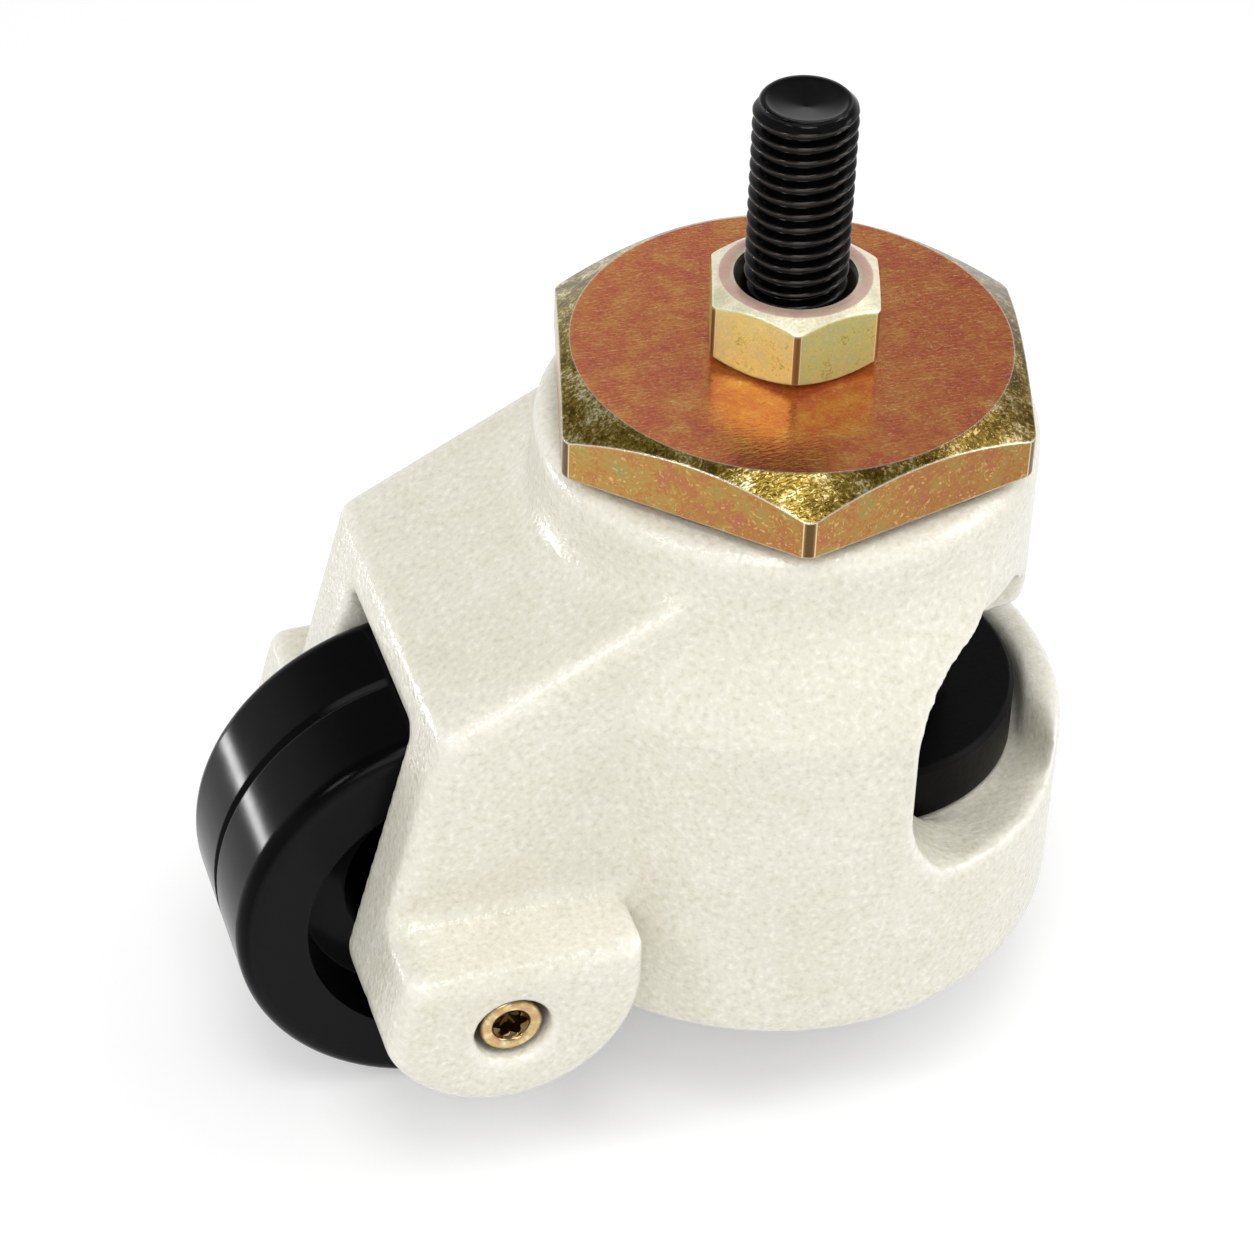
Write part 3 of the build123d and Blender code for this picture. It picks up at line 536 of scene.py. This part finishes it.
black_oxide, tree = new_material("black_oxide_steel")
place = add_node(tree, "TexCoord")
bloom = object_noise(tree, place, 0.0012, 4.0, 0.6)
shade = colours(tree, bloom, [(0.35, "#020202"), (0.62, "#050506"), (0.78, "#100d0a")])
reach = axis_distance(tree, place)
crest_wear = between(tree, reach, thread_r - 0.00014, thread_r - 0.00002, most=0.5)
worn = tinted(tree, crest_wear, shade, "#4a443e")
gleam = between(tree, bloom, 0, 1, 0.10, 0.18)
bump = add_node(tree, "Bump", {"Strength": 0.1, "Distance": 0.00003}, {"Height": bloom})
oxide = add_node(
    tree, "BsdfPrincipled", {"Specular IOR Level": 0.17},
    {"Base Color": worn, "Metallic": crest_wear, "Roughness": gleam, "Normal": bump.outputs[0]},
)
finish_material(tree, oxide.outputs[0])
stud = mesh_piece("threaded_stud", points, quads.tolist(), black_oxide)
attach(stud, "stem")
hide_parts("kingpin_stud")

# Swivel plate: a forged steel hexagon, faced and coned in a lathe, then zinc plated and
# yellow passivated. The film dries thicker on the flat top, where it turns copper red,
# and thin and greenish gold on the cone. Edges are lightened, partly worn bright and
# partly painted highlight, and the rounded upright corners carry a painted reflection.
# The level way to the camera's right, and the reach either side of the axis over which the film goes darker
# and duller towards that side.
rightward_way = (0.946, -0.323, 0.0)
rightward_reach = 0.026
fibre_size = 0.0010
lay = (0.0011, 0.00040, 0.0011)


def yellow_zinc(
    name, zones, blotch, roughness, relief,
    metal=0.85, edge_round=0.00035, bore=0.0, corner=1.0, right_tint="#ffffff",
):
    """Yellow passivated zinc. zones holds three lists of colour stops, for faces that look
    up, for slopes and for upright sides; blotch is the size of the film's colour patches.
    Within the radius bore round Z the colour is painted dark brown: painted shade in the
    mouth. Beyond the radius corner an upright side's rounded corner gets a painted
    reflection: brown, between two bright lines. Edges are lightened, partly worn bright
    and partly painted highlight. Along rightward_way the film goes over to the tint
    right_tint, darker and duller towards the camera's right."""
    material, tree = new_material(name)
    place = add_node(tree, "TexCoord")
    normal = add_node(tree, "SeparateXYZ", (), {0: place.outputs["Normal"]})
    patches = object_noise(tree, place, blotch, 3.0, 0.6)
    specks = object_noise(tree, place, blotch / 7, 2.0, 0.6, 0.8)
    both = add_node(tree, "Mix", {"data_type": "FLOAT", 0: 0.45}, {2: patches, 3: specks})
    up, slope, side = (colours(tree, both.outputs[0], stops) for stops in zones)
    is_slope = between(tree, normal.outputs["Z"], 0.97, 0.90)
    is_side = between(tree, normal.outputs["Z"], 0.55, 0.35)
    film = mixed(tree, is_side, mixed(tree, is_slope, up, slope), side)
    across = add_node(
        tree, "VectorMath", {"operation": "DOT_PRODUCT", 1: rightward_way}, {0: place.outputs["Object"]}
    )
    # Towards the camera's right the film is multiplied towards the given tint.
    rightward = between(tree, across.outputs["Value"], -rightward_reach, rightward_reach)
    film = multiplied(tree, film, colours(tree, rightward, [(0.0, "#ffffff"), (1.0, right_tint)]))
    fibres = object_noise(tree, place, fibre_size, 1.0, distortion=2.4)
    grained = tinted(tree, between(tree, fibres, 0.60, 0.72, most=0.50), film, "#e6c584")
    shape = add_node(tree, "NewGeometry")
    edge = add_node(tree, "Bevel", {"Radius": edge_round, "samples": 6})
    sameness = add_node(
        tree, "VectorMath", {"operation": "DOT_PRODUCT"}, {0: edge.outputs[0], 1: shape.outputs["Normal"]}
    )
    # Edges lighten towards #f6efd8: partly worn-through film, partly a painted highlight.
    wear_and_highlight = between(tree, sameness.outputs["Value"], 0.995, 0.94, most=0.9)
    reach = axis_distance(tree, place)
    # Painted reflection: round an upright side's rounded corner the colour turns brown between two bright
    # lines, as the corner mirrors its surroundings.
    by_corner = between(tree, reach, corner - 0.00006, corner + 0.00008)
    corner_reflection = colours(tree, by_corner, [(0.25, "#ecdcb8"), (0.55, "#8f7040"), (0.95, "#604a2a")])
    on_corner = between(tree, by_corner, 0, 0.3)
    upright = add_node(tree, "Math", {"operation": "MULTIPLY"}, {0: on_corner, 1: is_side})
    with_corner_reflection = mixed(tree, upright.outputs[0], grained, corner_reflection)
    bright = tinted(tree, wear_and_highlight, with_corner_reflection, "#f6efd8")
    # Painted shade: within the radius bore round Z the colour is painted dark brown.
    in_mouth_shade = add_node(tree, "Math", {"operation": "LESS_THAN", 1: bore}, {0: reach})
    colour = tinted(tree, in_mouth_shade.outputs[0], bright, "#2c2416")
    stretched = add_node(
        tree, "Mapping", {"Scale": [1 / size for size in lay]}, {"Vector": place.outputs["Object"]}
    )
    ripple = add_node(
        tree, "TexNoise", {"Scale": 1.0, "Detail": 2.0, "Distortion": 0.6}, {"Vector": stretched.outputs[0]}
    )
    bump = add_node(
        tree, "Bump", {"Strength": relief, "Distance": 0.00006},
        {"Height": ripple.outputs["Fac"], "Normal": edge.outputs[0]},
    )
    zinc = add_node(
        tree, "BsdfPrincipled", {"Metallic": metal, "Roughness": roughness},
        {"Base Color": colour, "Normal": bump.outputs[0]},
    )
    finish_material(tree, zinc.outputs[0])
    return material


dress("swivel_plate", yellow_zinc(
    "yellow_zinc_plate",
    (
        [(0.30, "#d66c64"), (0.45, "#e48458"), (0.57, "#efa060"), (0.72, "#fac678")],
        [(0.40, "#4e3f08"), (0.52, "#86732a"), (0.64, "#e0d8b0")],
        [(0.34, "#b46e60"), (0.44, "#b07844"), (0.55, "#b48e4c"), (0.66, "#92965c")],
    ),
    0.0030, 0.21, 0.80, corner=0.03042, right_tint="#e2d6cc",
))

# Stem nut: a cold-formed hexagon nut with rounded corners and a chamfer at both ends,
# zinc plated like the plate but with a thinner, paler film, pinkish on its top face.
nut_across = 0.0190
nut_corner_at = math.radians(12.0)
nut_corner_r = 0.0010
chamfer_slope = math.tan(math.radians(30.0))
nut_ring_r = 0.00875
nut_bore_r = 0.0056
mouth_edge = 0.00015
chamfer_rows = 0.0018
wall_rows = 0.0024
first_row = 0.00002
nut_columns = 360


def hexagon_radius(angle, half_across, corner_r):
    """Distance from the centre to a hexagon with round corners: a straight side at
    half_across / cos(a), and near a corner the circle of radius corner_r that touches
    both sides, where a is the angle from the middle of the side."""
    off = (angle + np.pi / 6) % (np.pi / 3) - np.pi / 6
    side = half_across / np.cos(off)
    centre = (half_across - corner_r) / np.cos(np.pi / 6)
    from_corner = np.pi / 6 - np.abs(off)
    root = np.sqrt(np.maximum(corner_r**2 - (centre * np.sin(from_corner)) ** 2, 0))
    return np.where(centre * np.sin(from_corner) < corner_r / 2, centre * np.cos(from_corner) + root, side)


angle = 2 * np.pi * np.arange(nut_columns) / nut_columns
outline = hexagon_radius(angle - nut_corner_at - np.pi / 6, nut_across / 2, nut_corner_r)[None, :]
nut_h = nut_top - nut_low[2]
rise = np.concatenate((
    [0.0], np.linspace(first_row, chamfer_rows, 14), np.linspace(wall_rows, nut_h - wall_rows, 5),
    np.linspace(nut_h - chamfer_rows, nut_h - first_row, 18), [nut_h],
))[:, None]
cone = nut_ring_r + np.minimum(rise, nut_h - rise) / chamfer_slope
wall = np.minimum(outline, cone)
# From the top face down the mouth's 45 degree cone and the bore: (radius, height)
inner = np.array([
    (nut_ring_r - 0.0003, nut_h),
    (nut_mouth_r + mouth_edge, nut_h),
    (nut_mouth_r, nut_h - mouth_edge),
    (nut_bore_r, nut_h - mouth_edge - (nut_mouth_r - nut_bore_r)),
    (nut_bore_r, 0.0),
])
level = np.ones((1, nut_columns))
radius = np.concatenate((nut_bore_r * level, wall, inner[:, :1] * level))
height = nut_low[2] + np.concatenate((0 * level, rise * level, inner[:, 1:] * level))
points, quads = turned_surface(radius, height, nut_columns)
# As on the plate: painted shade darkens the mouth within bore, the rounded corners carry the painted
# reflection, and the edges carry the partly painted highlight.
pale_zinc = yellow_zinc(
    "yellow_zinc_nut",
    (
        [(0.34, "#cfa098"), (0.50, "#d6b0a4"), (0.68, "#cfc4a4")],
        [(0.36, "#cfcaa8"), (0.60, "#efe9cf")],
        [(0.34, "#8e9c5c"), (0.46, "#c9c67c"), (0.56, "#acbd86"), (0.66, "#d2c68a")],
    ),
    0.0022, 0.28, 0.50, metal=0.28, edge_round=0.0004, bore=0.0071, corner=0.01074,
)
nut = mesh_piece("stud_nut", points, quads.tolist(), pale_zinc)
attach(nut, "stem")
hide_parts("stem_nut")

# Axle bolt and barrel nut: turned steel with a thin gold passivation, a rounded rim and a
# six-lobed socket, screwed together inside the wheel. Both heads are cold-formed alike.
axle_x, axle_z = axle_mm_x / 1000, axle_mm_z / 1000
head_r, head_len = 0.0038, 0.0068
shank_r = 0.0030
core_r = shank_r - 0.0005
barrel_r = shank_r - 0.00045
barrel_end = 0.0034
bead_r, bead_half, bead_rise = 0.00300, 0.00080, 0.00060
lobe_r, lobe_rise = 0.00172, 0.00034
socket_deep = 0.0024
land_depth, wall_depth = 0.0007, 0.0009
sharp = 0.00001
head_columns = 144
rim_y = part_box("axle_nut")[1][1]
shank_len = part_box("axle_bolt")[1][1] + rim_y
angle = 2 * np.pi * np.arange(head_columns) / head_columns
lobes = lobe_r + lobe_rise * np.cos(6 * angle)

axle_gold, tree = new_material("yellow_zinc_axle")
place = add_node(tree, "TexCoord")
film = object_noise(tree, place, 0.0012, 2.0)
gold = colours(tree, film, [(0.32, "#c79c78"), (0.48, "#cdb27a"), (0.66, "#ecdcb4")])
spot = add_node(tree, "SeparateXYZ", (), {0: place.outputs["Object"]})
along = add_node(tree, "Math", {"operation": "ABSOLUTE"}, {0: spot.outputs["Y"]})
# Painted shade: the rim bead's flanks darken towards #5c4420 with depth behind the rim, so the bead reads
# round.
painted_flank_shade = between(tree, along.outputs[0], rim_y - 0.00008, rim_y - 0.00050, most=0.85)
flank_shaded = tinted(tree, painted_flank_shade, gold, "#5c4420")
reach = axis_distance(tree, place, (-axle_x, 0, -axle_z), (1, 0, 1))
# Painted shade: inside the six-lobed socket, below its land, the colour is painted dark brown #4a3610.
below_land = add_node(
    tree, "Math", {"operation": "LESS_THAN", 1: rim_y - land_depth - 0.00002}, {0: along.outputs[0]}
)
near_axle = add_node(tree, "Math", {"operation": "LESS_THAN", 1: 0.00215}, {0: reach})
painted_socket_shade = add_node(
    tree, "Math", {"operation": "MULTIPLY"}, {0: below_land.outputs[0], 1: near_axle.outputs[0]}
)
colour = tinted(tree, painted_socket_shade.outputs[0], flank_shaded, "#4a3610")
golden = add_node(tree, "BsdfPrincipled", {"Metallic": 0.85, "Roughness": 0.17}, {"Base Color": colour})
finish_material(tree, golden.outputs[0])


def axle_end(name, node, side, end):
    """One axle piece, from its socket's floor over its rim to its inner end, as rings of
    (depth behind the rim, radius), where radius is a number or one value per column.
    It looks to -Y where side is 1 and to +Y where it is -1."""
    bead = [
        (bead_rise * (1 - np.sin(turn)), bead_r - bead_half * np.cos(turn))
        for turn in np.linspace(0, np.pi, 13)
    ]
    socket = [
        (socket_deep, closed_r), (socket_deep, lobes * 0.90), (socket_deep - 0.0001, lobes * 0.96),
        (wall_depth, lobes), (land_depth, lobes + 0.00008),
    ]
    rings = socket + bead + [(wall_depth, head_r)] + end
    depth = np.array([ring[0] for ring in rings])[:, None]
    radius = np.stack([np.broadcast_to(ring[1], head_columns) for ring in rings])
    x = axle_x + radius * np.cos(angle)
    z = axle_z + radius * np.sin(angle)
    points = np.stack((x, side * (depth - rim_y) + 0 * x, z), axis=-1)
    quads = ring_quads(len(rings), head_columns)[:, ::side]
    piece = mesh_piece(name, points, quads.tolist(), axle_gold)
    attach(piece, "housing")
    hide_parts(node)


axle_end("axle_bolt_turned", "axle_bolt", 1, [
    (head_len, head_r), (head_len + sharp, shank_r), (2 * rim_y - head_len, shank_r),
    (2 * rim_y - head_len + sharp, core_r), (shank_len, core_r), (shank_len + sharp, closed_r),
])
axle_end("axle_nut_turned", "axle_nut", -1, [
    (head_len - sharp, head_r), (head_len, barrel_r), (barrel_end, barrel_r),
    (barrel_end - sharp, closed_r),
])

# Bearings: through-hardened chrome steel, ground on rings and races and lapped on balls,
# so the rings carry a faint lay and the balls are near mirrors.


def bright_steel(name, stops, grain, roughness, relief):
    """Bare or plated steel: colour stops over a noise of the given grain in metres."""
    material, tree = new_material(name)
    place = add_node(tree, "TexCoord")
    patches = object_noise(tree, place, grain, 4.0, 0.6)
    colour = colours(tree, patches, stops)
    gleam = between(tree, patches, 0, 1, roughness * 0.8, roughness * 1.2)
    bump = add_node(tree, "Bump", {"Strength": relief, "Distance": 0.00005}, {"Height": patches})
    steel = add_node(
        tree, "BsdfPrincipled", {"Metallic": 1.0},
        {"Base Color": colour, "Roughness": gleam, "Normal": bump.outputs[0]},
    )
    finish_material(tree, steel.outputs[0])
    return material


ground_steel = bright_steel("ground_bearing_steel", [(0.3, "#b4b6ba"), (0.7, "#d0d2d6")], 0.0006, 0.22, 0.10)
lapped_steel = bright_steel("lapped_ball_steel", [(0.3, "#c6c8cc"), (0.7, "#dcdee2")], 0.0020, 0.07, 0.02)
for ring in (
    "upper_race", "lower_race", "swivel_bearing_inner", "swivel_bearing_outer",
    "wheel_bearing_outers", "wheel_bearing_inners",
):
    dress(ring, ground_steel)
for balls in ("thrust_balls", "swivel_bearing_balls", "wheel_bearing_balls"):
    dress(balls, lapped_steel)

# Cage and bush: the thrust cage is punched from brass sheet, the foot's guide bush is
# turned from cast bronze.
dress("thrust_cage", bright_steel("punched_brass", [(0.3, "#c29a4e"), (0.7, "#dab86c")], 0.0008, 0.30, 0.15))
dress("guide_bush", bright_steel("turned_bronze", [(0.3, "#8e6638"), (0.7, "#b48a52")], 0.0012, 0.38, 0.25))

# Small steel pieces: washers, spacer, cap, pin and foot plate are zinc plated with a clear
# blue passivation; the spindle and the dial's nut are oiled bare steel.
clear_zinc = bright_steel("clear_zinc_steel", [(0.3, "#a9afb6"), (0.7, "#c8ccd2")], 0.0015, 0.34, 0.20)
oiled_steel = bright_steel("oiled_steel", [(0.3, "#6e6c6a"), (0.7, "#96938f")], 0.0010, 0.30, 0.20)
for plated in (
    "axle_washers", "bearing_spacer", "kingpin_washer", "kingpin_cap",
    "dial_washer", "foot_pin", "foot_plate",
):
    dress(plated, clear_zinc)
for bare in ("spindle", "dial_nut"):
    dress(bare, oiled_steel)

# Foot pad: black nitrile rubber moulded onto the plate, matt, with a fine eroded grain.
rubber, tree = new_material("black_nitrile_rubber")
place = add_node(tree, "TexCoord")
eroded = object_noise(tree, place, 0.0005, 3.0)
shade = colours(tree, eroded, [(0.3, "#161616"), (0.7, "#222221")])
bump = add_node(tree, "Bump", {"Strength": 0.5, "Distance": 0.00008}, {"Height": eroded})
matt = add_node(
    tree, "BsdfPrincipled", {"Roughness": 0.72, "IOR": 1.52},
    {"Base Color": shade, "Normal": bump.outputs[0]},
)
finish_material(tree, matt.outputs[0])
dress("foot_pad", rubber)
